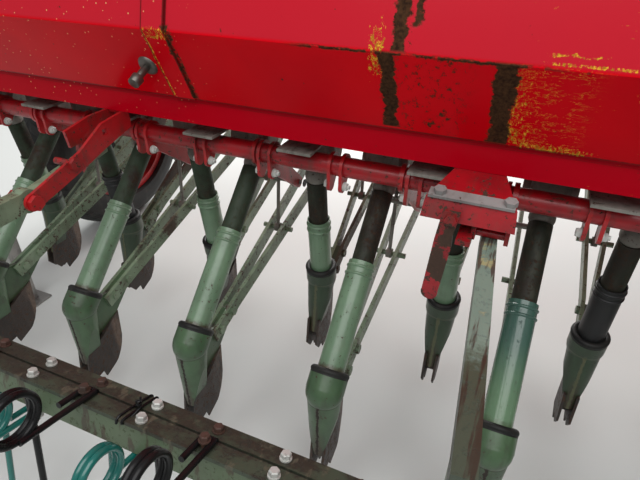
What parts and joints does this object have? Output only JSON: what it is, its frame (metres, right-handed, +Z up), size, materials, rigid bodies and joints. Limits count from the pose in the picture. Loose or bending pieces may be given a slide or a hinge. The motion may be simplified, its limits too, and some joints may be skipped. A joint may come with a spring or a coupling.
{
  "type": "seed drill",
  "caption": "Mounted seed drill with a red hopper, staggered green drag-arm coulters fed by telescopic tubes, two land wheels and a following tine harrow.",
  "frame": {"origin": "on the floor under the middle of the drill", "axes": "+Y the way of travel, +X to the right seen from behind, +Z up"},
  "size_m": [2.9, 1.6675, 1.2481],
  "materials": {
    "red_paint": "old red paint, dusty and rubbed",
    "hopper_red": "old red paint worn to yellow primer and rust",
    "green_paint": "old green paint with rust specks",
    "boot_green": "old green paint, rusty seam and lower edge",
    "rusty_steel": "rust-brown, rough",
    "tube_green": "faded pale green",
    "tube_dark": "dark brown to greenish black",
    "black_rubber": "matt",
    "tyre_rubber": "matt black with dust",
    "dark_steel": "black, worn",
    "teal_paint": "gloss teal",
    "grey_metal": "weathered grey",
    "bare_steel": "worn bare steel",
    "spring_steel": "dark and oily"
  },
  "bodies": {
    "chassis": {"main_beam": "red_paint", "headstock": "red_paint", "hitch_pin_left": "bare_steel", "hitch_pin_right": "bare_steel", "mast_braces": "red_paint", "side_plate_left": "red_paint", "side_plate_right": "red_paint", "hopper": "hopper_red", "metering_housings": "grey_metal", "outlet_shutters": "grey_metal", "rear_rail": "hopper_red", "pressure_shaft_rear": "red_paint", "pressure_shaft_front": "red_paint", "pressure_levers": "red_paint", "spring_ears": "red_paint", "spring_rods": "rusty_steel", "pressure_springs": "spring_steel", "coulter_beam": "red_paint", "arms_rear": "green_paint", "arms_front": "green_paint", "boots_rear": "boot_green", "boots_front": "boot_green", "blades_rear": "rusty_steel", "blades_front": "rusty_steel", "lower_tubes_rear": "tube_green", "lower_tubes_front": "tube_green", "upper_tubes_rear": "tube_dark", "upper_tubes_front": "tube_dark", "rubber_collars": "black_rubber", "spindle_left": "red_paint", "spindle_right": "red_paint", "gearbox": "grey_metal", "chain_case": "dark_steel", "harrow_bracket_left": "red_paint", "harrow_bracket_right": "red_paint", "harrow_bracket_centre": "red_paint", "bracket_strip": "grey_metal", "hanging_link": "red_paint"},
    "wheel_left": {"tyre_left": "tyre_rubber", "rim_left": "red_paint"},
    "wheel_right": {"tyre_right": "tyre_rubber", "rim_right": "red_paint"},
    "lid": {"lid": "hopper_red"},
    "leg_left": {"leg_left": "bare_steel"},
    "leg_right": {"leg_right": "bare_steel"},
    "harrow": {"harrow_arm_left": "green_paint", "harrow_arm_right": "green_paint", "harrow_arm_centre": "green_paint", "harrow_beam": "green_paint", "tines_black": "dark_steel", "tines_teal": "teal_paint"}
  },
  "joints": [
    {"name": "wheel_left_spin", "type": "hinge", "parent": "chassis", "child": "wheel_left", "pos_m": [-1.37, 0.346, 0.33], "axis": [1, 0, 0], "continuous": true},
    {"name": "wheel_right_spin", "type": "hinge", "parent": "chassis", "child": "wheel_right", "pos_m": [1.37, 0.346, 0.33], "axis": [1, 0, 0], "continuous": true},
    {"name": "lid_hinge", "type": "hinge", "parent": "chassis", "child": "lid", "pos_m": [0, 0.34, 1.194], "axis": [-1, 0, 0], "range_deg": [0, 100]},
    {"name": "harrow_lift", "type": "hinge", "parent": "chassis", "child": "harrow", "pos_m": [0, -0.473, 0.586], "axis": [-1, 0, 0], "range_deg": [0, 60]},
    {"name": "leg_left_slide", "type": "slide", "parent": "chassis", "child": "leg_left", "axis": [0, 0, 1], "range_m": [0, 0.3]},
    {"name": "leg_right_slide", "type": "slide", "parent": "chassis", "child": "leg_right", "axis": [0, 0, 1], "range_m": [0, 0.3]}
  ]
}
